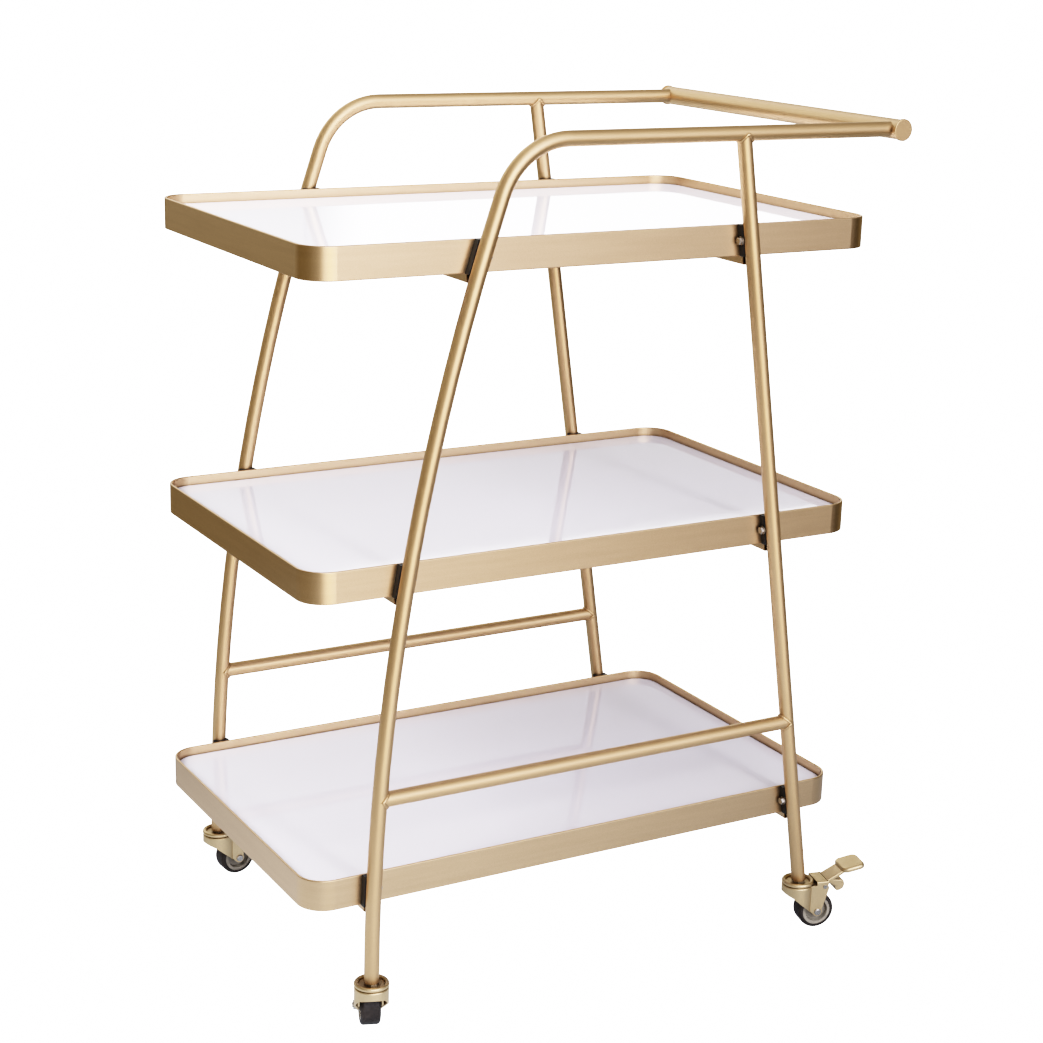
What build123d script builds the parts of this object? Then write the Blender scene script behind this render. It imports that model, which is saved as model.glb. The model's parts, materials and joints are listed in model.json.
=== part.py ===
from build123d import *
import os
from math import sin, cos, tan, asin, radians, degrees, sqrt

# Three-tier bar cart: two side frames of round tube carry three shallow
# trays from outside, a push handle joins the rails at the rear, and four
# swivel casters carry the legs. The two rear casters have brake pedals.
#
# Millimetres. +Z is up, the floor is Z = 0. While building, X = 0 is the
# front end of the trays and X grows toward the handle, Y = 0 is the middle
# plane. At the end everything is shifted along X so that the origin lies
# under the middle of the whole cart.

# ---------------------------------------------------------------- trays
TRAY_L = 620.0            # length over the rim, along X
TRAY_W = 375.0            # width over the rim, along Y
RIM_H = 31.3              # rim height
RIM_T = 2.5               # rim thickness
RIM_R = 28.0              # outer corner radius
RIM_TOPS = {"top": 767.3, "middle": 470.2, "lower": 164.2}
PANEL_T = 4.0             # panel thickness
PANEL_DROP = 9.5          # panel top below the rim top
PANEL_GAP = 0.6           # gap between panel edge and rim
PAD_T = 1.0               # pad under the panel
PAD_R = 4.0
LEDGE_W = 13.0            # ledge width
LEDGE_T = 2.0
BAR = 9.0                 # square cross bar under the rim
BAR_WALL = 1.2

# ---------------------------------------------------------------- side frames
TUBE_D = 15.0             # leg, rail and stretcher tube
TUBE_WALL = 1.2
TUBE_GAP = 3.0            # gap between rim and tube
RAIL_Z = 855.3            # rail and handle axis height
BEND_R = 72.0             # bend between front leg and rail
LEG_X0 = 61.7             # front leg foot
LEG_Z0 = 64.0             # the front leg is straight below this height
LEG_R = 2287.0            # long bow of the front leg
REAR_X = 572.93           # rear leg axis at Z = REAR_Z
REAR_Z = 54.0
REAR_SLOPE = -0.15736     # dX / dZ of the rear leg
LEG_BOTTOM = 55.0         # both legs are cut level here
STRETCH_Z = 242.2

# ---------------------------------------------------------------- handle
HANDLE_D = 20.0
HANDLE_WALL = 1.5
HANDLE_X = 629.3
HANDLE_END = 212.0        # outer face of the end cap, from the middle plane
CAP_R = 10.9              # the cap stands a little proud of the tube
CAP_T = 3.0
CAP_SPIGOT = 12.0
HBOLT_R = 3.0
HBOLT_HEAD_R = 5.2
INSERT_L = 28.0

# ---------------------------------------------------------------- fasteners
CLIP_W = 16.2             # saddle clip, across the leg
CLIP_D = 7.4              # saddle clip, away from the rim
TBOLT_R = 2.5             # tray bolt
TBOLT_HEAD_R = 4.75
TBOLT_HEAD_H = 2.6
TBOLT_DROP = 21.8         # bolt axis below the rim top
BUSH_R = 4.0              # threaded bush in the leg
CSCREW_DROP = 14.0        # clip screw below the rim top
CSCREW_OUT = 4.6          # clip screw axis, out from the rim face
CSCREW_AF = 7.0
CSCREW_H = {"front": 1.5, "rear": 3.4}
CSCREW_WASHER_R = 4.4
CSCREW_WASHER_T = 0.8
CSCREW_R = 1.5
CSCREW_L = 1.6

# ---------------------------------------------------------------- casters
WHEEL_D = 40.0
WHEEL_W = 20.0
TYRE_T = 4.3
TRAIL = 20.0              # axle behind the swivel axis
CUP_R = 17.3              # top cup, over its rolled rim
CUP_ROLL = 2.1            # radius of the rolled rim
CUP_Z0 = 51.2
CUP_FLOOR = 52.6
CUP_TOP = 55.4
CROWN_R = 17.1            # round head of the fork
STEM_R = 4.0
STEM_TOP = 68.0
STEM_AF = 11.0            # hexagon under the leg, across flats
KING_R = 3.5
FORK_TOP = 50.8
FORK_UNDER = 47.4         # underside of the head
WASHER_R = 13.0
WASHER_SEAT = 49.3
CHEEK_IN = 10.8           # inner face of a fork cheek
CHEEK_T = 2.0
FORK_REAR = 32.0          # rear end of a braked fork
PLAIN_REAR = 27.0         # rear end of a plain fork
LOBE_R = 5.4              # cheek end around the axle
AXLE_R = 2.5
FIT = 0.05                # running fit and thread clearance, radial
PIVOT_S = 27.0            # brake pivot, behind the swivel axis
PIVOT_Z = 49.0
PIN_R = 1.5
HOUSE_TOP = 55.0          # top of the brake housing
PAD_TILT = 11.0
CASTER_TURN = {"left_front": 70.0, "right_front": 4.0,
               "left_rear": -14.0, "right_rear": 14.0}
RIM_EDGE = 0.9          # rounding along the rims' four edges
BAR_EDGE = 1.6          # outer corners of the square cross bars
CLIP_EDGE = 0.7
SHEET_EDGE = 0.5        # pressed sheet of the caster forks
NECK_EDGE = 0.9         # brake pedal

# ---------------------------------------------------------------- derived
TUBE_R = TUBE_D / 2
TUBE_RI = TUBE_R - TUBE_WALL
TUBE_Y = TRAY_W / 2 + TUBE_GAP + TUBE_R
BOW_END = asin((RAIL_Z - BEND_R - LEG_Z0) / (LEG_R - BEND_R))
BEND_CX = LEG_X0 + LEG_R - (LEG_R - BEND_R) * cos(BOW_END)
SIDES = {"left": -1, "right": 1}
parts = {}


def put(name, *solids):
    parts.setdefault(name, []).extend(solids)


def rod(p0, p1, r):
    a, b = Vector(*p0), Vector(*p1)
    return Solid.make_cylinder(r, (b - a).length, Plane(origin=a, z_dir=b - a))


def block(x0, x1, y0, y1, z0, z1):
    return Pos((x0 + x1) / 2, (y0 + y1) / 2, (z0 + z1) / 2) * Box(x1 - x0, y1 - y0, z1 - z0)


def prism_xz(points, y0, y1):
    # outline in X and Z, from y0 to y1
    face = make_face(Polyline(*[(x, y0, z) for x, z in points], close=True))
    return extrude(face, amount=y1 - y0, dir=(0, 1, 0))


def spun(points):
    # outline in radius and height, turned about the Z axis
    face = make_face(Polyline(*[(r, 0, z) for r, z in points], close=True))
    return revolve(face, Axis.Z, 360)


def one(shape):
    solids = shape.solids()
    assert len(solids) == 1, len(solids)
    return solids[0]


# ---------------------------------------------------------------- leg lines
def front_x(z):
    if z <= LEG_Z0:
        return LEG_X0
    return LEG_X0 + LEG_R - sqrt(LEG_R ** 2 - (z - LEG_Z0) ** 2)


def front_dir(z):
    if z <= LEG_Z0:
        return (0.0, 1.0)
    a = asin((z - LEG_Z0) / LEG_R)
    return (sin(a), cos(a))


def rear_x(z):
    return REAR_X + REAR_SLOPE * (z - REAR_Z)


def rear_dir(z):
    n = sqrt(1 + REAR_SLOPE ** 2)
    return (REAR_SLOPE / n, 1 / n)


LEGS = {"front": (front_x, front_dir), "rear": (rear_x, rear_dir)}


# ---------------------------------------------------------------- tubes
def bent(y, r):
    # front leg, long bow, bend and rail as one round bar
    foot = rod((LEG_X0, y, LEG_BOTTOM), (LEG_X0, y, LEG_Z0), r)
    bow = revolve(Plane(origin=(LEG_X0, y, LEG_Z0), z_dir=(0, 0, 1)) * Circle(r),
                  Axis((LEG_X0 + LEG_R, y, LEG_Z0), (0, 1, 0)), degrees(BOW_END))
    end = (LEG_X0 + LEG_R * (1 - cos(BOW_END)), y, LEG_Z0 + LEG_R * sin(BOW_END))
    bend = revolve(Plane(origin=end, z_dir=(sin(BOW_END), 0, cos(BOW_END))) * Circle(r),
                   Axis((BEND_CX, y, RAIL_Z - BEND_R), (0, 1, 0)), 90 - degrees(BOW_END))
    rail = rod((BEND_CX, y, RAIL_Z), (HANDLE_X, y, RAIL_Z), r)
    return [foot, bow, bend, rail]


def rear_bar(y, r, z0=LEG_BOTTOM - 12, z1=RAIL_Z):
    return rod((rear_x(z0), y, z0), (rear_x(z1), y, z1), r)


handle_core = rod((HANDLE_X, -HANDLE_END, RAIL_Z), (HANDLE_X, HANDLE_END, RAIL_Z), HANDLE_D / 2)
below_foot = block(-100, 800, -400, 400, -50, LEG_BOTTOM)
bars = {}                 # outer shapes of the legs, for coping

# the left side frame, mirrored for the right
y = -TUBE_Y
outer, inner = bent(y, TUBE_R), bent(y, TUBE_RI)
front = None
for o, i in zip(outer, inner):
    seg = o - i
    front = seg if front is None else front + seg
front = front - handle_core
solid_front = outer[0] + outer[1] + outer[2] + outer[3]
solid_rear = rear_bar(y, TUBE_R)
rail_bar = rod((300, y, RAIL_Z), (700, y, RAIL_Z), TUBE_R)
rear = (rear_bar(y, TUBE_R) - rear_bar(y, TUBE_RI)) - rail_bar - below_foot
st = rod((front_x(STRETCH_Z), y, STRETCH_Z), (rear_x(STRETCH_Z), y, STRETCH_Z), TUBE_R)
st = st - rod((front_x(STRETCH_Z), y, STRETCH_Z), (rear_x(STRETCH_Z), y, STRETCH_Z), TUBE_RI)
st = st - solid_front - solid_rear
bars["left"] = {"front": solid_front, "rear": solid_rear}
bars["right"] = {k: mirror(v, about=Plane.XZ) for k, v in bars["left"].items()}
leg_tubes = {"front": front, "rear": rear}
put("left_stretcher", one(st))
put("right_stretcher", one(mirror(st, about=Plane.XZ)))

# ---------------------------------------------------------------- handle
handle = handle_core - rod((HANDLE_X, -HANDLE_END - 1, RAIL_Z), (HANDLE_X, HANDLE_END + 1, RAIL_Z),
                           HANDLE_D / 2 - HANDLE_WALL)
for side, s in SIDES.items():
    y = s * TUBE_Y
    # the tube stops where the cap's flange sits
    handle = handle - block(HANDLE_X - 20, HANDLE_X + 20, *sorted((s * (HANDLE_END - CAP_T), s * (HANDLE_END + 5))),
                            RAIL_Z - 20, RAIL_Z + 20)
    handle = handle - rod((HANDLE_X - 20, y, RAIL_Z), (HANDLE_X + 20, y, RAIL_Z), HBOLT_R + 0.2)
    # cap: flange with a soft edge and a spigot inside the tube, split for the bolt
    flange = rod((HANDLE_X, s * (HANDLE_END - CAP_T), RAIL_Z), (HANDLE_X, s * HANDLE_END, RAIL_Z), CAP_R)
    flange = fillet(flange.edges().filter_by(GeomType.CIRCLE).sort_by(Axis.Y)[0 if s < 0 else -1], 0.9)
    spigot = rod((HANDLE_X, s * (HANDLE_END - CAP_T - CAP_SPIGOT), RAIL_Z),
                 (HANDLE_X, s * (HANDLE_END - CAP_T), RAIL_Z), HANDLE_D / 2 - HANDLE_WALL - FIT)
    spigot = spigot - rod((HANDLE_X, s * (HANDLE_END - CAP_T - CAP_SPIGOT - 1), RAIL_Z),
                          (HANDLE_X, s * (HANDLE_END - CAP_T), RAIL_Z), HANDLE_D / 2 - HANDLE_WALL - 2.0)
    cap = flange + spigot
    cap = cap - rod((HANDLE_X - 20, y, RAIL_Z), (HANDLE_X + 20, y, RAIL_Z), HBOLT_R + 0.6)
    put("handle_end_caps", one(cap))
    # insert pressed into the rail end
    insert = rod((HANDLE_X - INSERT_L - 8, y, RAIL_Z), (HANDLE_X, y, RAIL_Z), TUBE_RI - FIT) - handle_core
    insert = insert - rod((HANDLE_X - INSERT_L - 9, y, RAIL_Z), (HANDLE_X, y, RAIL_Z), HBOLT_R + FIT)
    put("rail_end_inserts", one(insert))
    # bolt with a saddle under its head
    head = rod((HANDLE_X + 6, y, RAIL_Z), (HANDLE_X + HANDLE_D / 2 + 2.6, y, RAIL_Z), HBOLT_HEAD_R)
    head = fillet(head.edges().sort_by(Axis.X)[-1], 1.6) - handle_core
    head = head - rod((HANDLE_X + HANDLE_D / 2 + 1.0, y, RAIL_Z), (HANDLE_X + HANDLE_D / 2 + 4, y, RAIL_Z), 2.0)
    shank = rod((HANDLE_X - INSERT_L + 4, y, RAIL_Z), (HANDLE_X + HANDLE_D / 2 + 0.5, y, RAIL_Z), HBOLT_R)
    put("handle_bolts", one(head + shank))
put("handle_bar", one(handle))


# ---------------------------------------------------------------- trays
def plate(length, width, radius, z0, z1):
    return Pos(TRAY_L / 2, 0, z0) * extrude(RectangleRounded(length, width, radius), amount=z1 - z0)


for tier, top in RIM_TOPS.items():
    rim = plate(TRAY_L, TRAY_W, RIM_R, top - RIM_H, top) - plate(
        TRAY_L - 2 * RIM_T, TRAY_W - 2 * RIM_T, RIM_R - RIM_T, top - RIM_H - 1, top + 1)
    rim = fillet(rim.edges().group_by(Axis.Z)[-1] + rim.edges().group_by(Axis.Z)[0], RIM_EDGE)
    zb = top - TBOLT_DROP
    z_pad = top - PANEL_DROP - PANEL_T
    z_ledge = z_pad - PAD_T
    ledge = plate(TRAY_L - 2 * RIM_T, TRAY_W - 2 * RIM_T, RIM_R - RIM_T, z_ledge - LEDGE_T, z_ledge) - plate(
        TRAY_L - 2 * RIM_T - 2 * LEDGE_W, TRAY_W - 2 * RIM_T - 2 * LEDGE_W, RIM_R - RIM_T - LEDGE_W,
        z_ledge - LEDGE_T - 1, z_ledge + 1)
    inset = RIM_T + PANEL_GAP
    panel = plate(TRAY_L - 2 * inset, TRAY_W - 2 * inset, RIM_R - inset, z_pad, z_pad + PANEL_T)
    panel = chamfer(panel.edges().group_by(Axis.Z)[-1], 0.5)
    put(tier + "_panel", one(panel))
    put(tier + "_tray_ledge", one(ledge))
    # pads along the four sides of the ledge
    m = RIM_T + LEDGE_W / 2
    for px, py in ((60, 1), (TRAY_L / 2, 1), (TRAY_L - 60, 1), (60, -1), (TRAY_L / 2, -1), (TRAY_L - 60, -1)):
        put("panel_pads", rod((px, py * (TRAY_W / 2 - m), z_ledge), (px, py * (TRAY_W / 2 - m), z_pad), PAD_R))
    for px in (m, TRAY_L - m):
        put("panel_pads", rod((px, 0, z_ledge), (px, 0, z_pad), PAD_R))

    for leg, (xf, df) in LEGS.items():
        xb = xf(top - RIM_H - BAR / 2)
        half = TRAY_W / 2 - 1.0
        bar = block(xb - BAR / 2, xb + BAR / 2, -half, half, top - RIM_H - BAR, top - RIM_H)
        bar = fillet(bar.edges().filter_by(Axis.Y), BAR_EDGE)
        bar = bar - block(xb - BAR / 2 + BAR_WALL, xb + BAR / 2 - BAR_WALL, -half - 1, half + 1,
                          top - RIM_H - BAR + BAR_WALL, top - RIM_H - BAR_WALL)
        put(tier + "_cross_bars", one(bar))
        for side, s in SIDES.items():
            face = TRAY_W / 2
            x = xf(zb)
            rim = rim - rod((x, s * (face - 10), zb), (x, s * (face + 10), zb), TBOLT_R + 0.25)
            # saddle clip that follows the lean of the leg
            d0, d1 = df(top - RIM_H), df(top)
            w0, w1 = CLIP_W / 2 / d0[1], CLIP_W / 2 / d1[1]
            z0, z1 = top - RIM_H, top
            ys = sorted((s * face, s * (face + CLIP_D)))
            clip = prism_xz([(xf(z0) - w0, z0), (xf(z0) + w0, z0), (xf(z1) + w1, z1), (xf(z1) - w1, z1)], *ys)
            clip = fillet(clip.faces().sort_by(Axis.Y)[0 if s < 0 else -1].edges(), CLIP_EDGE)
            clip = clip - bars[side][leg]
            clip = clip - rod((x, s * (face - 1), zb), (x, s * (face + 12), zb), TBOLT_R + 0.25)
            # screw in the cheek that faces the middle of the cart
            zs = top - CSCREW_DROP
            d = df(zs)
            q = 1 if leg == "front" else -1
            px, pz = q * d[1], -q * d[0]
            yy = s * (face + CSCREW_OUT)

            def at(t):
                return (xf(zs) + px * t, yy, zs + pz * t)
            seat = CLIP_W / 2 + (0.06 if leg == "front" else 0.0)   # the front leg is bowed
            clip = clip - rod(at(seat - CSCREW_L - 0.3), at(seat + 2), CSCREW_R + FIT)
            put("tray_clips", *clip.solids())
            washer = rod(at(seat), at(seat + CSCREW_WASHER_T), CSCREW_WASHER_R)
            hexa = extrude(Plane(origin=at(seat + CSCREW_WASHER_T), z_dir=(px, 0, pz), x_dir=(0, 1, 0))
                           * RegularPolygon(CSCREW_AF / 2, 6, major_radius=False), amount=CSCREW_H[leg])
            hexa = chamfer(hexa.faces().sort_by(Axis.X)[-1 if q > 0 else 0].edges(), 0.5)
            put("clip_screws", one(washer + hexa + rod(at(seat - CSCREW_L), at(seat + 1), CSCREW_R)))
            # tray bolt, from inside the rim into the leg
            inside = face - RIM_T
            head = rod((x, s * (inside - TBOLT_HEAD_H), zb), (x, s * inside, zb), TBOLT_HEAD_R)
            head = fillet(head.edges().sort_by(Axis.Y)[-1 if s < 0 else 0], 1.8)
            head = head - rod((x, s * (inside - TBOLT_HEAD_H - 1), zb), (x, s * (inside - 0.9), zb), 1.6)
            put("tray_bolts", one(head + rod((x, s * (inside - 0.5), zb), (x, s * (TUBE_Y + 0.5), zb), TBOLT_R)))
            # threaded bush set in the leg wall
            if side == "left":
                leg_tubes[leg] = leg_tubes[leg] - rod((x, s * (TUBE_Y - 12), zb), (x, s * (TUBE_Y - 2), zb), BUSH_R)
            bush = rod((x, s * (TUBE_Y - 12), zb), (x, s * (TUBE_Y + 1), zb), BUSH_R - 0.02)
            bush = bush & bars[side][leg]
            bush = bush - rod((x, s * (TUBE_Y - 13), zb), (x, s * (TUBE_Y + 2), zb), TBOLT_R + FIT)
            put("leg_bushes", one(bush))
    put(tier + "_tray_rim", one(rim))

put("left_leg_rail_tube", one(leg_tubes["front"]))
put("left_rear_leg", one(leg_tubes["rear"]))
put("right_leg_rail_tube", one(mirror(leg_tubes["front"], about=Plane.XZ)))
put("right_rear_leg", one(mirror(leg_tubes["rear"], about=Plane.XZ)))


# ---------------------------------------------------------------- casters
def about_axle(shape):
    return Pos(TRAIL, 0, WHEEL_D / 2) * (Rot(90, 0, 0) * shape)


def caster_fork(braked):
    # round head with a soft shoulder and a seat for the washer
    head = rod((0, 0, 10), (0, 0, FORK_TOP), CROWN_R)
    head = fillet(head.edges().group_by(Axis.Z)[-1], 1.8)
    head = head - rod((0, 0, 9), (0, 0, FORK_UNDER), CROWN_R - 2.0)
    # the skirt ends where the flat cheeks start, and its lower edge rises to the front
    cut_s = sqrt(CROWN_R ** 2 - (CHEEK_IN + CHEEK_T) ** 2)
    low = [(-26, 46.5), (-16.5, 42.0), (-9.5, 38.6), (6.6, 25.0), (24, 6.5)]
    head = head - block(cut_s, 40, -40, 40, 0, FORK_UNDER)
    head = head - prism_xz(low + [(24, 0), (-26, 0)], -30, 30)
    wide = CHEEK_IN + CHEEK_T
    if braked:
        top = [(6, FORK_TOP - 0.6), (FORK_REAR - 1.5, FORK_TOP - 0.6), (FORK_REAR, FORK_TOP - 2.5)]
        rear = (FORK_REAR, 45.5)
        deck = block(0, FORK_REAR - 1.5, -wide, wide, FORK_UNDER, FORK_TOP)
    else:
        top = [(6, FORK_TOP - 0.6), (14, FORK_TOP - 0.6), (PLAIN_REAR, 44.6)]
        rear = (PLAIN_REAR, 41.5)
        deck = block(0, 13.6, -wide, wide, FORK_UNDER, FORK_TOP) + prism_xz(
            [(13.5, FORK_TOP), (14.2, FORK_TOP), (PLAIN_REAR, 44.8), (PLAIN_REAR - 0.6, 42.8), (13.5, FORK_UNDER + 1.2)], -wide, wide)
    fork = head + deck
    outline = top + [rear, (TRAIL + 4.9, 22.3), (TRAIL, WHEEL_D / 2 - LOBE_R + 0.6), (TRAIL - 4.6, 17.2), (6, 25.51)]
    for s in (-1, 1):
        ys = sorted((s * CHEEK_IN, s * wide))
        cheek = prism_xz(outline, *ys) + rod((TRAIL, ys[0], WHEEL_D / 2), (TRAIL, ys[1], WHEEL_D / 2), LOBE_R)
        cheek = fillet(cheek.faces().sort_by(Axis.Y)[0 if s < 0 else -1].edges(), SHEET_EDGE)
        fork = fork + cheek
    fork = fork - rod((TRAIL, -30, WHEEL_D / 2), (TRAIL, 30, WHEEL_D / 2), AXLE_R + 0.02)
    fork = fork - rod((0, 0, 30), (0, 0, 60), KING_R + FIT)
    fork = fork - rod((0, 0, WASHER_SEAT), (0, 0, 60), WASHER_R + 0.4)
    if braked:
        # slot for the pedal, and the pin's holes in the cheeks
        fork = fork - block(21.0, FORK_REAR + 2, -CHEEK_IN, CHEEK_IN, 40, 60)
        fork = fork - rod((PIVOT_S, -30, PIVOT_Z), (PIVOT_S, 30, PIVOT_Z), PIN_R + 0.01)
    return one(fork)


def caster_axle():
    # bolt with a low domed head, and its nut
    out = CHEEK_IN + CHEEK_T
    head = rod((TRAIL, -out - 1.8, WHEEL_D / 2), (TRAIL, -out, WHEEL_D / 2), 3.9)
    head = fillet(head.edges().filter_by(GeomType.CIRCLE).sort_by(Axis.Y)[0], 1.4)
    bolt = head + rod((TRAIL, -out - 0.5, WHEEL_D / 2), (TRAIL, out + 4.2, WHEEL_D / 2), AXLE_R)
    nut = Pos(TRAIL, out, WHEEL_D / 2) * (Rot(-90, 0, 0) * extrude(RegularPolygon(4.0, 6, major_radius=False), amount=3.2))
    nut = chamfer(nut.faces().sort_by(Axis.Y)[-1].edges(), 0.5)
    nut = nut - rod((TRAIL, out - 1, WHEEL_D / 2), (TRAIL, out + 9, WHEEL_D / 2), AXLE_R + 0.02)
    return [one(bolt), one(nut)]


def caster_tyre():
    ring = rod((0, 0, -WHEEL_W / 2), (0, 0, WHEEL_W / 2), WHEEL_D / 2)
    ring = fillet(ring.edges().filter_by(GeomType.CIRCLE), 3.6)
    ring = ring - rod((0, 0, -WHEEL_W), (0, 0, WHEEL_W), WHEEL_D / 2 - TYRE_T)
    return one(about_axle(ring))


def caster_hub():
    r = WHEEL_D / 2 - TYRE_T
    h = WHEEL_W / 2 - 0.6
    b = AXLE_R + FIT
    half = [(b, 0), (b, CHEEK_IN - 0.4), (5.6, CHEEK_IN - 0.4), (6.2, CHEEK_IN - 1.0), (6.2, 4.8), (11.8, 4.8),
            (12.6, h), (r, h), (r, 0)]
    mirror_ = [(x, -z) for x, z in half[-2:0:-1]]
    return one(about_axle(spun(half + mirror_)))


def caster_stem():
    # king pin with a rivet head below, hexagon between cup and leg, stem in the foot plug
    pts = [(0, FORK_UNDER - 2.6), (4.6, FORK_UNDER - 2.6), (5.5, FORK_UNDER - 1.7), (5.5, FORK_UNDER - 0.1),
           (KING_R, FORK_UNDER - 0.1), (KING_R, CUP_Z0), (STEM_R, CUP_Z0),
           (STEM_R, STEM_TOP - 1), (STEM_R - 1, STEM_TOP), (0, STEM_TOP)]
    hexa = Pos(0, 0, CUP_FLOOR) * extrude(RegularPolygon(STEM_AF / 2, 6, major_radius=False), amount=LEG_BOTTOM - CUP_FLOOR)
    return one(spun(pts) + hexa)


def caster_cup():
    # shallow dish with a rolled rim
    cr, cz = CUP_R - CUP_ROLL, CUP_TOP - CUP_ROLL
    body = spun([(STEM_R, CUP_Z0), (CUP_R - 0.9, CUP_Z0), (CUP_R, CUP_Z0 + 0.9), (CUP_R, cz), (cr, cz), (cr - 1.6, CUP_FLOOR),
                 (STEM_R, CUP_FLOOR)])
    roll = revolve(Plane(origin=(cr, 0, cz), z_dir=(0, -1, 0)) * Circle(CUP_ROLL), Axis.Z, 360)
    roll = roll - rod((0, 0, 40), (0, 0, CUP_Z0 + 0.5), 30)
    cup = body + roll
    return one(cup)


def caster_washer():
    return one(rod((0, 0, WASHER_SEAT + 0.1), (0, 0, CUP_Z0 - 0.1), WASHER_R) - rod((0, 0, 46), (0, 0, 54), KING_R + 0.15))


def foot_plug(leg, s):
    xf, df = LEGS[leg]
    x, z = xf(LEG_BOTTOM), LEG_BOTTOM
    d = df(LEG_BOTTOM)
    plug = rod((x - d[0] * 8, s * TUBE_Y, z - d[1] * 8), (x + d[0] * 26, s * TUBE_Y, z + d[1] * 26), TUBE_RI - FIT)
    plug = plug - below_foot
    return plug


def brake_housing():
    w = CHEEK_IN + CHEEK_T
    body = block(17.8, 31.5, -w, w, FORK_TOP, HOUSE_TOP)
    body = fillet(body.edges().filter_by(Axis.X).group_by(Axis.Z)[-1], 1.2)
    body = body - block(19.0, 40, -w + 1.2, w - 1.2, FORK_TOP - 1, HOUSE_TOP - 1.2)
    body = body - block(29.6, 40, -w + 1.2, w - 1.2, 50, 60)
    return one(body)


def brake_pedal():
    # barrel on the pin with the shoe lobe below it
    barrel = rod((PIVOT_S, -10.2, PIVOT_Z), (PIVOT_S, 10.2, PIVOT_Z), 2.6)
    arm = prism_xz([(PIVOT_S - 0.6, PIVOT_Z + 2.4), (30.4, 53.4), (31.2, 54.4), (31.8, 51.4), (29.5, PIVOT_Z - 1.9), (PIVOT_S, PIVOT_Z - 2.2)], -10.2, 10.2)
    shoe = prism_xz([(PIVOT_S - 2.0, PIVOT_Z - 1.0), (PIVOT_S + 2.4, PIVOT_Z), (PIVOT_S + 4.6, PIVOT_Z - 6.5),
                     (PIVOT_S + 4.2, PIVOT_Z - 9.5), (PIVOT_S + 2.4, PIVOT_Z - 9.3), (PIVOT_S - 0.8, PIVOT_Z - 5.9)], -6.5, 6.5)
    neck = prism_xz([(30.4, 52.6), (30.4, HOUSE_TOP), (50.5, 65.8), (52.0, 63.0), (36.0, 53.4)], -10.4, 10.4)
    for face in (neck.faces().sort_by(Axis.Y)[0], neck.faces().sort_by(Axis.Y)[-1]):
        neck = fillet([e for e in neck.edges() if abs(e.center().Y - face.center().Y) < 1e-4], NECK_EDGE)
    # foot pad, tilted up outward, with rounded corners
    pad = extrude(RectangleRounded(26.4, 30.0, 7.0), amount=5.0)
    pad = fillet(pad.edges().group_by(Axis.Z)[-1], 2.2)
    pad = fillet(pad.edges().group_by(Axis.Z)[0], 1.0)
    pad = Pos(60.2, 0, 65.0) * (Rot(0, -PAD_TILT, 0) * pad)
    # release tongue below the neck, with a turned-down end
    tongue = prism_xz([(31.0, 52.4), (36.4, 54.4), (47.6, 53.4), (50.6, 51.6), (51.6, 47.6), (50.2, 43.4), (46.6, 41.2),
                       (43.0, 40.6), (41.0, 42.4), (40.2, 46.6), (36.0, 49.4)], -9.0, 9.0)
    for yy in (-9.0, 9.0):
        tongue = fillet([e for e in tongue.edges() if abs(e.center().Y - yy) < 1e-4], NECK_EDGE)
    hollow = prism_xz([(38.0, 51.4), (46.6, 51.2), (48.2, 49.8), (49.0, 47.2), (48.0, 44.8), (44.6, 43.0), (43.4, 43.2),
                       (42.6, 47.6)], -7.0, 7.0)
    tongue = tongue - hollow
    pedal = barrel + arm + shoe + neck + pad + tongue
    pedal = pedal - rod((PIVOT_S, -30, PIVOT_Z), (PIVOT_S, 30, PIVOT_Z), PIN_R + FIT)
    return one(pedal)


def brake_pin():
    out = CHEEK_IN + CHEEK_T
    pin = rod((PIVOT_S, -out - 1.0, PIVOT_Z), (PIVOT_S, out + 1.0, PIVOT_Z), PIN_R)
    for s in (-1, 1):
        pin = pin + rod((PIVOT_S, s * out, PIVOT_Z), (PIVOT_S, s * (out + 1.0), PIVOT_Z), 2.2)
    return one(pin)


def brake_spring():
    flat = block(19.1, 23.8, -4.0, 4.0, FORK_TOP, FORK_TOP + 0.6) - block(21.0, 23.2, -5, 5, FORK_TOP - 1, FORK_TOP)
    return one(flat + block(23.2, 23.8, -4.0, 4.0, FORK_TOP, 53.2))


for name, turn in CASTER_TURN.items():
    side, leg = name.split("_")
    s = SIDES[side]
    x = front_x(60.0) if leg == "front" else rear_x(60.0)
    place = Pos(x, s * TUBE_Y, 0) * Rot(0, 0, turn)
    here = Pos(x, s * TUBE_Y, 0)
    put("caster_stems", here * caster_stem())
    put("caster_top_cups", here * caster_cup())
    put("swivel_washers", here * caster_washer())
    plug = foot_plug(leg, s) - (here * rod((0, 0, 40), (0, 0, STEM_TOP + 1.5), STEM_R + FIT))
    put("leg_foot_plugs", one(plug))
    put(name + "_fork", place * caster_fork(leg == "rear"))
    put(name + "_axle", *[place * p for p in caster_axle()])
    put(name + "_tyre", place * caster_tyre())
    put(name + "_hub", place * caster_hub())
    if leg == "rear":
        put(name + "_brake_housing", place * brake_housing())
        put(name + "_brake_pedal", place * brake_pedal())
        put(name + "_brake_pin", place * brake_pin())
        put(name + "_brake_spring", place * brake_spring())

# ---------------------------------------------------------------- shift and write
boxes = [p.bounding_box() for group in parts.values() for p in group]
lo = [min(getattr(b.min, a) for b in boxes) for a in "XYZ"]
hi = [max(getattr(b.max, a) for b in boxes) for a in "XYZ"]
shift = Pos(-(lo[0] + hi[0]) / 2, -(lo[1] + hi[1]) / 2, -lo[2])

os.makedirs("parts", exist_ok=True)
for name, group in parts.items():
    moved = [shift * p for p in group]
    solids = [q for m in moved for q in m.solids()]
    shape = solids[0] if len(solids) == 1 else Compound(children=solids)
    shape.label = name
    export_step(shape, "parts/" + name + ".step")

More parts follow.
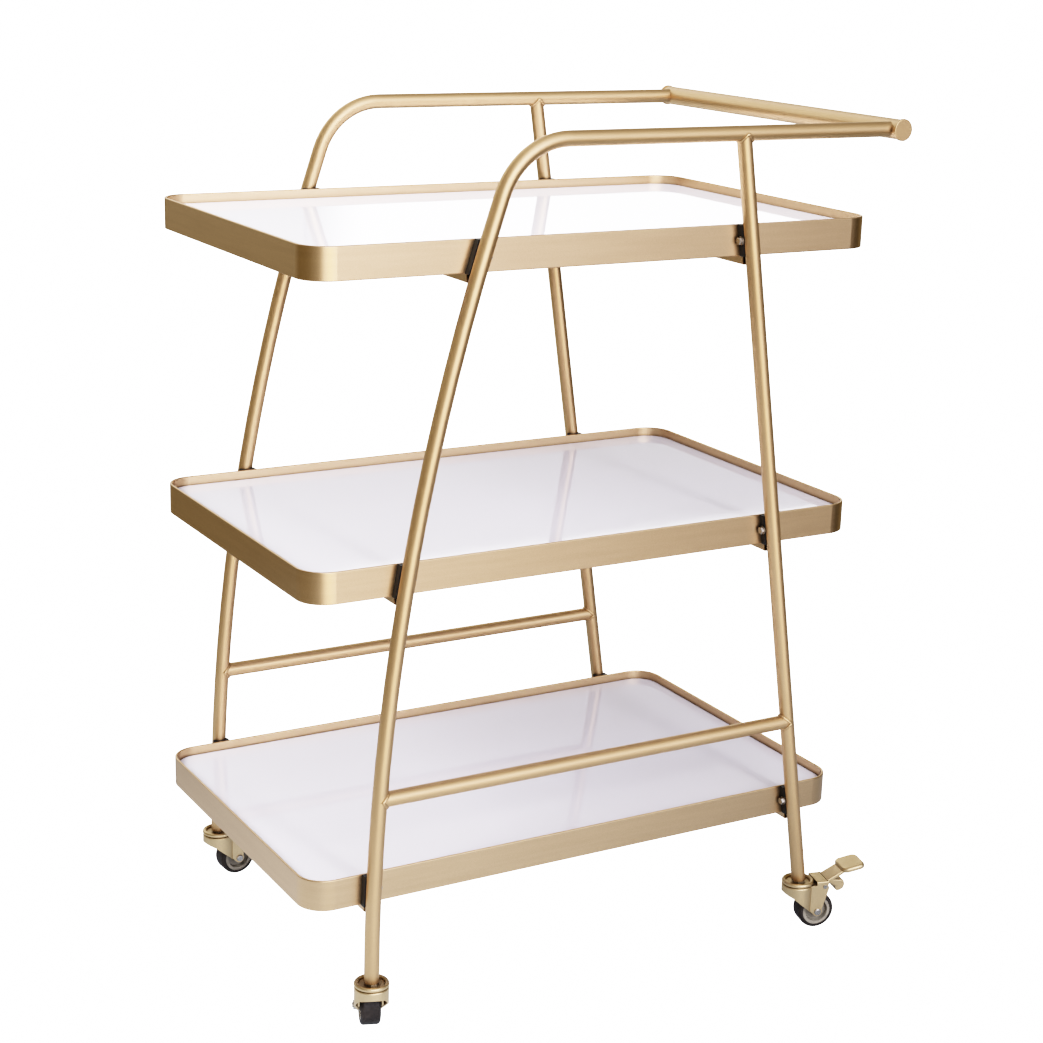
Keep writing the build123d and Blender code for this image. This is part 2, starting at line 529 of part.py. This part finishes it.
print("nodes", len(parts))
print("box before shift", [round(v, 4) for v in lo], [round(v, 4) for v in hi])
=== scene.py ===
import json
import math

import bmesh
import bpy
from mathutils import Matrix, Vector


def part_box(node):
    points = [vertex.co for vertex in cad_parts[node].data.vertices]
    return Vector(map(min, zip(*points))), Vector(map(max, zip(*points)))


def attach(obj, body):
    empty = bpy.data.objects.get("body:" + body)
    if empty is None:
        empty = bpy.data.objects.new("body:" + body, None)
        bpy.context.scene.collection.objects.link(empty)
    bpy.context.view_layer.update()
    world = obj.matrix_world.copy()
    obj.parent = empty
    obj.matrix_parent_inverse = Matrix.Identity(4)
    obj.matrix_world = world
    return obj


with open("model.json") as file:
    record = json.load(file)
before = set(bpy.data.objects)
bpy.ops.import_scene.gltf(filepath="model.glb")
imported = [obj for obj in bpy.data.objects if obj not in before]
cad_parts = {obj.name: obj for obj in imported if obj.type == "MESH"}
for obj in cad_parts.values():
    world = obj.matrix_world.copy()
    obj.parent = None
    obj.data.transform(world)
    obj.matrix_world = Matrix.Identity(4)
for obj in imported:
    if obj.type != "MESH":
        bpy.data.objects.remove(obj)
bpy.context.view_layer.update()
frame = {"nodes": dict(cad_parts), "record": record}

# Bar cart, metres, in the model's own frame: floor at Z = 0, +X toward the
# push handle, -Y toward the viewer's side.

nodes = frame["nodes"]
scene = bpy.context.scene
scene.view_settings.view_transform = "Standard"
scene.view_settings.look = "None"
scene.view_settings.exposure = 0.0
scene.view_settings.gamma = 1.0
# camera response: shadows deepen and keep their colour, highlights roll off to white
CURVE_TOP, CURVE_MID, CURVE_POWER, CURVE_GAIN = 3.0, 0.45, 1.7, 1.06
scene.view_settings.use_curve_mapping = True
response = scene.view_settings.curve_mapping
response.black_level = (0.0, 0.0, 0.0)
response.white_level = (CURVE_TOP, CURVE_TOP, CURVE_TOP)
response_points = response.curves[3].points
for lit in (0.03, 0.06, 0.10, 0.15, 0.20, 0.28, 0.38, 0.5, 0.65, 0.8, 1.0, 1.3, 1.7, 2.2):
    held = lit ** CURVE_POWER
    response_points.new(lit / CURVE_TOP, CURVE_GAIN * held / (held + CURVE_MID ** CURVE_POWER))
response.update()


# ------------------------------------------------------------------ material helpers
def fresh(name):
    m = bpy.data.materials.new(name)
    m.use_nodes = True
    t = m.node_tree
    t.nodes.clear()
    out = t.nodes.new("ShaderNodeOutputMaterial")
    b = t.nodes.new("ShaderNodeBsdfPrincipled")
    t.links.new(b.outputs["BSDF"], out.inputs["Surface"])
    return m, t, b


def coords(t):
    c = t.nodes.new("ShaderNodeTexCoord")
    return c.outputs["Object"]


def noise(t, where, scale, detail=3.0, rough=0.55, stretch=None):
    if stretch:
        mp = t.nodes.new("ShaderNodeMapping")
        mp.inputs["Scale"].default_value = stretch
        t.links.new(where, mp.inputs["Vector"])
        where = mp.outputs["Vector"]
    n = t.nodes.new("ShaderNodeTexNoise")
    n.inputs["Scale"].default_value = scale
    n.inputs["Detail"].default_value = detail
    n.inputs["Roughness"].default_value = rough
    t.links.new(where, n.inputs["Vector"])
    return n.outputs["Fac"]


def span(t, value, lo, hi, a, b):
    m = t.nodes.new("ShaderNodeMapRange")
    m.inputs["From Min"].default_value = lo
    m.inputs["From Max"].default_value = hi
    m.inputs["To Min"].default_value = a
    m.inputs["To Max"].default_value = b
    t.links.new(value, m.inputs["Value"])
    return m.outputs["Result"]


def ramp(t, value, stops):
    r = t.nodes.new("ShaderNodeValToRGB")
    e = r.color_ramp.elements
    while len(e) < len(stops):
        e.new(0.5)
    for el, (p, c) in zip(e, stops):
        el.position = p
        el.color = (*c, 1.0)
    t.links.new(value, r.inputs["Fac"])
    return r.outputs["Color"]


def blend_colour(t, fac, a, b, mode="MIX"):
    m = t.nodes.new("ShaderNodeMix")
    m.data_type = "RGBA"
    m.blend_type = mode
    if isinstance(fac, float):
        m.inputs[0].default_value = fac
    else:
        t.links.new(fac, m.inputs[0])
    for sock, v in ((m.inputs[6], a), (m.inputs[7], b)):
        if isinstance(v, tuple):
            sock.default_value = (*v, 1.0)
        else:
            t.links.new(v, sock)
    return m.outputs[2]


def bump(t, b, height, strength, distance, chain=None):
    n = t.nodes.new("ShaderNodeBump")
    n.inputs["Strength"].default_value = strength
    n.inputs["Distance"].default_value = distance
    t.links.new(height, n.inputs["Height"])
    if chain is not None:
        t.links.new(chain, n.inputs["Normal"])
    t.links.new(n.outputs["Normal"], b.inputs["Normal"])
    return n.outputs["Normal"]


def painted_crevice_shade(t, colour, reach, depth):
    # painted shade where surfaces meet: ambient occlusion darkens the colour in corners and creases; depth is what is
    # left of the colour in the corner
    a = t.nodes.new("ShaderNodeAmbientOcclusion")
    a.samples = 6
    a.inputs["Distance"].default_value = reach
    shade = ramp(t, a.outputs["AO"], [(0.45, (depth, depth * 0.985, depth * 0.97)), (0.82, (1.0, 1.0, 1.0))])
    return blend_colour(t, 1.0, colour, shade, "MULTIPLY")


def edge(t, lo, hi):
    g = t.nodes.new("ShaderNodeNewGeometry")
    return span(t, g.outputs["Pointiness"], lo, hi, 0.0, 1.0)


# ------------------------------------------------------------------ materials
def gold(name, tone=(0.65, 0.478, 0.302), spread=0.07, rough=(0.342, 0.358), coat=0.10, grain=1.0, metal=1.0, haze=0.0, streak=(1.0, 1.0, 1.0)):
    # satin metallic paint: fine flake, a soft orange peel and faint clouding
    m, t, b = fresh(name)
    c = coords(t)
    flake = noise(t, c, 2600.0, 2.0, 0.6)
    cloud = noise(t, c, 11.0, 3.0, 0.5, streak)
    dark = tuple(v * (1 - spread) for v in tone)
    pale = tuple(min(1.0, v * (1 + spread) + 0.01) for v in tone)
    base = ramp(t, flake, [(0.34, dark), (0.52, tone), (0.68, pale)])
    tint = ramp(t, cloud, [(0.35, (0.95, 0.945, 0.94)), (0.65, (1.0, 1.0, 1.0))])
    base = blend_colour(t, 1.0, base, tint, "MULTIPLY")
    # painted shade: the paint colour is darkened by ambient occlusion in corners and creases, where surfaces meet
    t.links.new(painted_crevice_shade(t, base, 0.006, 0.62), b.inputs["Base Color"])
    b.inputs["Metallic"].default_value = metal
    t.links.new(span(t, noise(t, c, 140.0, 4.0, 0.6), 0.3, 0.7, *rough), b.inputs["Roughness"])
    b.inputs["Coat Weight"].default_value = coat
    b.inputs["Coat Roughness"].default_value = 0.24
    b.inputs["Sheen Weight"].default_value = haze
    b.inputs["Sheen Roughness"].default_value = 0.6
    b.inputs["Sheen Tint"].default_value = (1.0, 0.92, 0.72, 1.0)
    peel = bump(t, b, noise(t, c, 520.0, 2.0, 0.45), 0.10 * grain, 0.0003)
    bump(t, b, flake, 0.06 * grain, 0.00012, peel)
    return m


def panel_white():
    # back-painted glass: clean gloss, a faint wave and the odd wipe mark
    m, t, b = fresh("white_glass")
    c = coords(t)
    b.inputs["IOR"].default_value = 1.5
    tone = ramp(t, noise(t, c, 5.0, 3.0, 0.5), [(0.3, (0.66, 0.635, 0.707)), (0.7, (0.68, 0.652, 0.729))])
    # painted shade: the white is darkened by ambient occlusion close to the rim and other parts that stand over it
    t.links.new(painted_crevice_shade(t, tone, 0.008, 0.72), b.inputs["Base Color"])
    wipe = noise(t, c, 14.0, 5.0, 0.65, (1.0, 3.2, 1.0))
    t.links.new(span(t, wipe, 0.35, 0.75, 0.025, 0.075), b.inputs["Roughness"])
    bump(t, b, noise(t, c, 7.0, 1.0, 0.4), 0.02, 0.0008)
    return m


def plastic(name, tone, rough=(0.4, 0.55), grain=1400.0, strength=0.12, pale=0.25):
    m, t, b = fresh(name)
    c = coords(t)
    hi = tuple(min(1.0, v * (1 + pale) + 0.004) for v in tone)
    col = ramp(t, noise(t, c, 60.0, 4.0, 0.6), [(0.3, tone), (0.72, hi)])
    col = blend_colour(t, span(t, edge(t, 0.53, 0.62), 0.0, 1.0, 0.0, 0.2), col, tuple(min(1.0, v * 1.8 + 0.02) for v in tone))
    t.links.new(col, b.inputs["Base Color"])
    t.links.new(span(t, noise(t, c, 220.0, 3.0, 0.6), 0.3, 0.7, *rough), b.inputs["Roughness"])
    bump(t, b, noise(t, c, grain, 2.0, 0.5), strength, 0.0002)
    return m


def rubber(name, tone=(0.018, 0.018, 0.019)):
    m, t, b = fresh(name)
    c = coords(t)
    col = ramp(t, noise(t, c, 90.0, 5.0, 0.65), [(0.3, tone), (0.75, tuple(v * 2.0 + 0.006 for v in tone))])
    t.links.new(col, b.inputs["Base Color"])
    t.links.new(span(t, noise(t, c, 260.0, 4.0, 0.6), 0.3, 0.7, 0.45, 0.68), b.inputs["Roughness"])
    bump(t, b, noise(t, c, 1100.0, 3.0, 0.6), 0.2, 0.0003)
    return m


def steel(name, tone=(0.70, 0.71, 0.73), rough=(0.22, 0.38)):
    m, t, b = fresh(name)
    c = coords(t)
    col = ramp(t, noise(t, c, 300.0, 3.0, 0.6), [(0.3, tuple(v * 0.88 for v in tone)), (0.7, tone)])
    t.links.new(col, b.inputs["Base Color"])
    b.inputs["Metallic"].default_value = 1.0
    t.links.new(span(t, noise(t, c, 800.0, 3.0, 0.6), 0.3, 0.7, *rough), b.inputs["Roughness"])
    bump(t, b, noise(t, c, 1500.0, 2.0, 0.5), 0.08, 0.0001)
    return m


def milky(name):
    m, t, b = fresh(name)
    c = coords(t)
    col = ramp(t, noise(t, c, 120.0, 3.0, 0.5), [(0.3, (0.70, 0.72, 0.72)), (0.7, (0.78, 0.79, 0.79))])
    t.links.new(col, b.inputs["Base Color"])
    t.links.new(span(t, noise(t, c, 200.0, 2.0, 0.5), 0.3, 0.7, 0.25, 0.4), b.inputs["Roughness"])
    b.inputs["Transmission Weight"].default_value = 0.25
    return m


GOLD = gold("gold_paint", streak=(1.0, 1.0, 18.0))
GOLD_TUBE = gold("gold_paint_tube", (0.612, 0.436, 0.256), rough=(0.415, 0.445), metal=0.95, haze=0.05)
GOLD_CAST = gold("gold_paint_cast", (0.67, 0.53, 0.335), rough=(0.38, 0.50), coat=0.05, grain=1.6)
FINISH = {
    "gold_paint": GOLD,
    "white_glass": panel_white(),
    "black_nylon": plastic("black_nylon", (0.007, 0.0065, 0.006), (0.42, 0.56)),
    "black_rubber": rubber("black_rubber", (0.0165, 0.0125, 0.0105)),
    "grey_plastic": plastic("grey_plastic", (0.215, 0.196, 0.165), (0.3, 0.45), pale=0.2),
    "zinc": steel("zinc", (0.50, 0.475, 0.44)),
    "clear_pad": milky("clear_pad"),
}
slot_of = {s["node"]: s["material_slot"] for s in frame["record"]["subparts"]}
for name, o in nodes.items():
    o.data.materials.clear()
    finish = FINISH[slot_of[name]]
    if finish is GOLD and name.endswith(("_tube", "_rear_leg", "_stretcher", "handle_bar", "_end_caps", "handle_bolts")):
        finish = GOLD_TUBE
    elif finish is GOLD and name.endswith(("_cups", "_fork", "_housing", "_pedal")):
        finish = GOLD_CAST
    o.data.materials.append(finish)
    for p in o.data.polygons:
        p.material_index = 0

# ------------------------------------------------------------------ weld beads
# a small fillet of weld around each coped tube end, painted with the frame
TUBE_R = 0.0075


def bead(name, along, start, reach, hit, radius=0.0016, turns=72, ring=12, seed=0.0):
    # along: direction of the tube that ends; start: a point on its axis; hit(p): distance of p
    # to the surface of the tube it meets (positive outside); reach: how far to search
    along = along.normalized()
    side = along.orthogonal().normalized()
    other = along.cross(side)
    line = []
    for i in range(turns):
        a = 2 * math.pi * i / turns
        out = math.cos(a) * side + math.sin(a) * other
        p0 = start + TUBE_R * out
        lo, hi = 0.0, reach
        for _ in range(40):
            mid = (lo + hi) / 2
            if hit(p0 + mid * along) > 0:
                lo = mid
            else:
                hi = mid
        line.append((p0 + lo * along, out))
    me = bpy.data.meshes.new(name)
    bm = bmesh.new()
    rings = []
    for i, (p, out) in enumerate(line):
        ahead = (line[(i + 1) % turns][0] - line[i - 1][0]).normalized()
        back = (out - out.dot(ahead) * ahead).normalized()
        up_ = ahead.cross(back)
        ripple = 0.07 * math.sin(i * 2 * math.pi * 24 / turns) + 0.06 * math.sin(i * 2 * math.pi * 5 / turns + seed)
        r = radius * (1 + ripple)
        rings.append([bm.verts.new(p + r * (math.cos(2 * math.pi * k / ring) * back + math.sin(2 * math.pi * k / ring) * up_))
                      for k in range(ring)])
    for i in range(turns):
        a, b = rings[i], rings[(i + 1) % turns]
        for k in range(ring):
            bm.faces.new((a[k], a[(k + 1) % ring], b[(k + 1) % ring], b[k]))
    bmesh.ops.recalc_face_normals(bm, faces=bm.faces)
    for f in bm.faces:
        f.smooth = True
    bm.to_mesh(me)
    bm.free()
    o = bpy.data.objects.new(name, me)
    me.materials.append(GOLD_TUBE)
    scene.collection.objects.link(o)
    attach(o, "frame")
    return o


def to_line(p, q, d):
    w = p - q
    return (w - w.dot(d) * d).length


XO = 0.6293 - (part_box("handle_bar")[0][0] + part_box("handle_bar")[1][0]) / 2
RAIL_Z, STRETCH_Z = 0.8553, 0.2422
REAR_DIR = Vector((-0.15736, 0.0, 1.0)).normalized()
BOW_R, BOW_X, BOW_Z = 2.287, 0.0617, 0.064
for side_name, tube_y in (("left", -0.198), ("right", 0.198)):
    rear_at = Vector((0.57293 - 0.15736 * (0.80 - 0.054) - XO, tube_y, 0.80))
    rail_at = Vector((0.0, tube_y, RAIL_Z))
    bead("weld_" + side_name + "_rail", REAR_DIR, rear_at, 0.0555,
         lambda p: to_line(p, rail_at, Vector((1, 0, 0))) - TUBE_R, seed=1.0 + tube_y)
    mid = Vector((0.31 - XO, tube_y, STRETCH_Z))
    bead("weld_" + side_name + "_stretcher_rear", Vector((1, 0, 0)), mid, 0.2335,
         lambda p: to_line(p, rear_at, REAR_DIR) - TUBE_R, seed=2.0 + tube_y)
    bow_at = Vector((BOW_X + BOW_R - XO, tube_y, BOW_Z))

    def to_bow(p):
        flat = math.hypot(p.x - bow_at.x, p.z - bow_at.z) - BOW_R
        return math.hypot(flat, p.y - tube_y) - TUBE_R
    bead("weld_" + side_name + "_stretcher_front", Vector((-1, 0, 0)), mid, 0.2415, to_bow, seed=3.0 + tube_y)

# ------------------------------------------------------------------ camera
handle_lo, handle_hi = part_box("handle_bar")
XC = 0.6293 - (handle_lo[0] + handle_hi[0]) / 2     # middle of the outline, from the front end of the trays
F_PX, SIDE_PX = 2115.04, 1043.0
yaw, pitch, roll = (math.radians(a) for a in (30.00835, -15.87359, 1.59805))
fw = Vector((math.sin(yaw) * math.cos(pitch), math.cos(yaw) * math.cos(pitch), math.sin(pitch)))
rt = Vector((math.cos(yaw), -math.sin(yaw), 0.0))
up = rt.cross(fw)
rt2 = math.cos(roll) * rt + math.sin(roll) * up
up2 = -math.sin(roll) * rt + math.cos(roll) * up
cam_data = bpy.data.cameras.new("camera")
cam_data.sensor_fit = "HORIZONTAL"
cam_data.sensor_width = 36.0
cam_data.lens = F_PX * 36.0 / SIDE_PX
cam_data.clip_end = 200.0
cam = bpy.data.objects.new("camera", cam_data)
scene.collection.objects.link(cam)
rot = Matrix((rt2, up2, -fw)).transposed().to_4x4()
cam.matrix_world = Matrix.Translation((-0.745101 - XC, -1.859598, 1.044579)) @ rot
scene.camera = cam

# ------------------------------------------------------------------ studio
world = bpy.data.worlds.new("studio")
scene.world = world
world.use_nodes = True
wt = world.node_tree
wt.nodes.clear()
w_out = wt.nodes.new("ShaderNodeOutputWorld")
w_bg = wt.nodes.new("ShaderNodeBackground")
wt.links.new(w_bg.outputs["Background"], w_out.inputs["Surface"])
w_dir = wt.nodes.new("ShaderNodeTexCoord").outputs["Generated"]


def w_math(op, a, b):
    n = wt.nodes.new("ShaderNodeMath")
    n.operation = op
    for s, v in zip(n.inputs, (a, b)):
        if isinstance(v, (int, float)):
            s.default_value = v
        else:
            wt.links.new(v, s)
    return n.outputs[0]


def lobe(direction, inner, outer):
    # 1 within inner degrees of a direction, fading to 0 at outer degrees
    d = Vector(direction).normalized()
    n = wt.nodes.new("ShaderNodeVectorMath")
    n.operation = "DOT_PRODUCT"
    wt.links.new(w_dir, n.inputs[0])
    n.inputs[1].default_value = d
    m = wt.nodes.new("ShaderNodeMapRange")
    m.interpolation_type = "SMOOTHSTEP"
    m.inputs["From Min"].default_value = math.cos(math.radians(outer))
    m.inputs["From Max"].default_value = math.cos(math.radians(inner))
    wt.links.new(n.outputs["Value"], m.inputs["Value"])
    return m.outputs["Result"]


level = 0.25
for d, inner, outer, add in (
    ((0.03, -0.995, 0.08), 15, 40, 2.40),     # front
    ((-0.70, -0.70, 0.10), 10, 40, 0.14),     # front left
    ((0.05, -0.80, 0.60), 12, 40, 1.30),      # front, high
    ((-0.10, -0.20, 0.97), 10, 45, 0.45),     # overhead
    ((-0.08, 0.81, 0.58), 12, 28, 1.00),      # high behind
    ((-0.48, 0.875, 0.0), 3, 16, 0.36),       # behind to the left
    ((0.45, 0.86, 0.24), 8, 26, 0.66),        # behind, above the horizon
):
    level = w_math("ADD", level, w_math("MULTIPLY", lobe(d, inner, outer), add))
for d, inner, outer, cut in (
    ((0.35, 0.85, -0.38), 12, 44, 0.15),      # low behind
    ((-0.55, 0.75, -0.35), 10, 36, 0.14),     # low behind to the left
    ((0.65, 0.50, 0.57), 8, 34, 0.30),        # high to the right
    ((0.85, -0.50, -0.15), 10, 39, 0.70),     # right
):
    keep = w_math("SUBTRACT", 1.0, w_math("MULTIPLY", lobe(d, inner, outer), cut))
    level = w_math("MULTIPLY", level, keep)
wt.links.new(level, w_bg.inputs["Strength"])
# the darker parts of the room are warm
w_ramp = wt.nodes.new("ShaderNodeValToRGB")
w_stops = [(0.12, (1.0, 0.84, 0.52)), (0.18, (1.0, 0.90, 0.66)), (0.22, (1.0, 0.95, 0.83)), (0.30, (1.0, 0.985, 0.905)),
           (0.52, (1.0, 0.985, 0.95)), (0.61, (1.0, 0.99, 1.0)), (0.94, (1.0, 1.015, 1.15))]
while len(w_ramp.color_ramp.elements) < len(w_stops):
    w_ramp.color_ramp.elements.new(0.5)
for el, (pos, col) in zip(w_ramp.color_ramp.elements, w_stops):
    el.position = pos
    el.color = (*col, 1.0)
wt.links.new(w_math("MULTIPLY", level, 0.6), w_ramp.inputs["Fac"])
w_tone = w_ramp.outputs["Color"]
for d, inner, outer, tint in (
    ((-0.02, -0.985, -0.15), 9, 23, (1.0, 0.84, 0.58)),      # warm middle of the front light
    ((0.44, -0.89, -0.06), 6, 20, (1.02, 1.05, 1.16)),       # and its cooler right edge
    ((0.85, -0.50, -0.15), 10, 36, (1.0, 1.045, 1.14)),      # the dark right is more neutral
):
    w_tone = blend_colour(wt, lobe(d, inner, outer), w_tone, tint, "MULTIPLY")
wt.links.new(w_tone, w_bg.inputs["Color"])


def disc(name, radius, z, segments=96):
    me = bpy.data.meshes.new(name)
    bm = bmesh.new()
    bmesh.ops.create_circle(bm, cap_ends=True, segments=segments, radius=radius)
    bm.to_mesh(me)
    bm.free()
    o = bpy.data.objects.new(name, me)
    o.location.z = z
    scene.collection.objects.link(o)
    return o


# white floor as the camera sees it
fm, ft, fb = fresh("studio_floor")
fb.inputs["Base Color"].default_value = (0, 0, 0, 1)
fb.inputs["Specular IOR Level"].default_value = 0.0
fcol = ramp(ft, noise(ft, coords(ft), 3.0, 2.0, 0.5), [(0.3, (0.985, 0.985, 0.985)), (0.7, (1.0, 1.0, 1.0))])
ft.links.new(fcol, fb.inputs["Emission Color"])
fb.inputs["Emission Strength"].default_value = 3.2
floor = disc("studio_floor", 90.0, -0.0006)
floor.data.materials.append(fm)
for kind in ("glossy", "diffuse", "transmission", "shadow"):
    setattr(floor, "visible_" + kind, False)
# a white wall far around it, for low views
wall_mesh = bpy.data.meshes.new("studio_wall")
ring = [(40.0 * math.cos(k * math.pi / 48), 40.0 * math.sin(k * math.pi / 48)) for k in range(96)]
wall_mesh.from_pydata([(x, y, z) for z in (-1.0, 40.0) for x, y in ring], [],
                      [(k, (k + 1) % 96, 96 + (k + 1) % 96, 96 + k) for k in range(96)])
wall_mesh.materials.append(fm)
wall = bpy.data.objects.new("studio_wall", wall_mesh)
scene.collection.objects.link(wall)
for kind in ("glossy", "diffuse", "transmission", "shadow"):
    setattr(wall, "visible_" + kind, False)
# the light that comes back up from the floor
bm_, bt, bb = fresh("studio_floor_bounce")
bb.inputs["Roughness"].default_value = 0.9
bb.inputs["Specular IOR Level"].default_value = 0.0
bcol = ramp(bt, noise(bt, coords(bt), 3.0, 2.0, 0.5), [(0.3, (0.40, 0.39, 0.38)), (0.7, (0.42, 0.41, 0.40))])
bt.links.new(bcol, bb.inputs["Base Color"])
bounce = disc("studio_floor_bounce", 12.0, -0.0007)
bounce.data.materials.append(bm_)
bounce.visible_camera = False
bounce.visible_glossy = False
# the lit floor around the cart, as polished parts mirror it: brighter in front, fading behind and to the right
pm, pt, pb = fresh("studio_floor_near")
pb.inputs["Base Color"].default_value = (0, 0, 0, 1)
pb.inputs["Specular IOR Level"].default_value = 0.0
pb.inputs["Emission Color"].default_value = (0.97, 1.03, 1.16, 1)
p_split = pt.nodes.new("ShaderNodeSeparateXYZ")
pt.links.new(coords(pt), p_split.inputs["Vector"])
p_side = pt.nodes.new("ShaderNodeMath")
p_side.operation = "MULTIPLY_ADD"
pt.links.new(p_split.outputs["X"], p_side.inputs[0])
p_side.inputs[1].default_value = 1.3
pt.links.new(p_split.outputs["Y"], p_side.inputs[2])
pt.links.new(span(pt, p_side.outputs[0], -0.62, 0.18, 0.86, 0.38), pb.inputs["Emission Strength"])
patch = disc("studio_floor_near", 1.15, -0.0005)
patch.data.materials.append(pm)
patch.visible_camera = False
patch.visible_diffuse = False
patch.visible_shadow = False
patch.visible_transmission = False


# a low white card behind, mirrored by the casters and the feet of the legs
cm_, ct, cb = fresh("studio_card")
cb.inputs["Base Color"].default_value = (0, 0, 0, 1)
cb.inputs["Specular IOR Level"].default_value = 0.0
ccol = ramp(ct, noise(ct, coords(ct), 2.0, 2.0, 0.5), [(0.3, (0.96, 0.96, 0.96)), (0.7, (1.0, 1.0, 1.0))])
ct.links.new(ccol, cb.inputs["Emission Color"])
cb.inputs["Emission Strength"].default_value = 0.8
card_mesh = bpy.data.meshes.new("studio_card")
card_mesh.from_pydata([(-0.3, 1.0, 0.0), (1.9, 1.0, 0.0), (1.9, 1.0, 0.5), (-0.3, 1.0, 0.5)], [], [(0, 1, 2, 3)])
card = bpy.data.objects.new("studio_card", card_mesh)
card_mesh.materials.append(cm_)
scene.collection.objects.link(card)
for kind in ("camera", "diffuse", "transmission", "shadow"):
    setattr(card, "visible_" + kind, False)

# two panels of light behind, seen only in polished parts: a strip at the height that the top panel
# mirrors, with a soft left end, and a higher one to the left that the handle mirrors
def glow(name, corners, strength, fade=None):
    m, gt, b = fresh(name)
    b.inputs["Base Color"].default_value = (0, 0, 0, 1)
    b.inputs["Specular IOR Level"].default_value = 0.0
    tone = ramp(gt, noise(gt, coords(gt), 2.0, 2.0, 0.5), [(0.3, (0.97, 0.97, 0.97)), (0.7, (1.0, 1.0, 1.0))])
    gt.links.new(tone, b.inputs["Emission Color"])
    b.inputs["Emission Strength"].default_value = strength
    if fade:
        s = gt.nodes.new("ShaderNodeSeparateXYZ")
        gt.links.new(coords(gt), s.inputs["Vector"])
        gt.links.new(span(gt, s.outputs["X"], fade[0], fade[1], fade[2], strength), b.inputs["Emission Strength"])
    me = bpy.data.meshes.new(name)
    me.from_pydata(corners, [], [(0, 1, 2, 3)])
    me.materials.append(m)
    o = bpy.data.objects.new(name, me)
    scene.collection.objects.link(o)
    for kind in ("camera", "diffuse", "transmission", "shadow"):
        setattr(o, "visible_" + kind, False)
    return o


glow("studio_strip", [(0.20, 1.0, 0.855), (1.6, 1.0, 0.855), (1.6, 1.0, 0.98), (0.20, 1.0, 0.98)], 2.9, (0.20, 0.30, 0.5))
glow("studio_glow", [(-1.6, 1.6, 1.15), (0.1, 1.6, 1.15), (0.1, 1.6, 2.1), (-1.6, 1.6, 2.1)], 1.4)


def softbox(name, where, target, size, power, tone=(1, 1, 1)):
    d = bpy.data.lights.new(name, "AREA")
    d.shape = "RECTANGLE"
    d.size, d.size_y = size
    d.energy = power
    d.color = tone
    o = bpy.data.objects.new(name, d)
    scene.collection.objects.link(o)
    o.location = where
    o.rotation_euler = (Vector(target) - Vector(where)).to_track_quat("-Z", "Y").to_euler()
    return o


for box in (
    softbox("softbox_top", (0.0, 0.0, 4.0), (0, 0, 0.5), (0.62, 0.38), 125.0),
    softbox("softbox_left", (-1.45, -0.2, 1.25), (0, 0, 0.4), (0.8, 0.8), 31.0),
    softbox("softbox_front", (0.11, -2.3, 1.62), (0.1, 0, 0.3), (0.26, 0.6), 21.0),
):
    box.visible_glossy = False
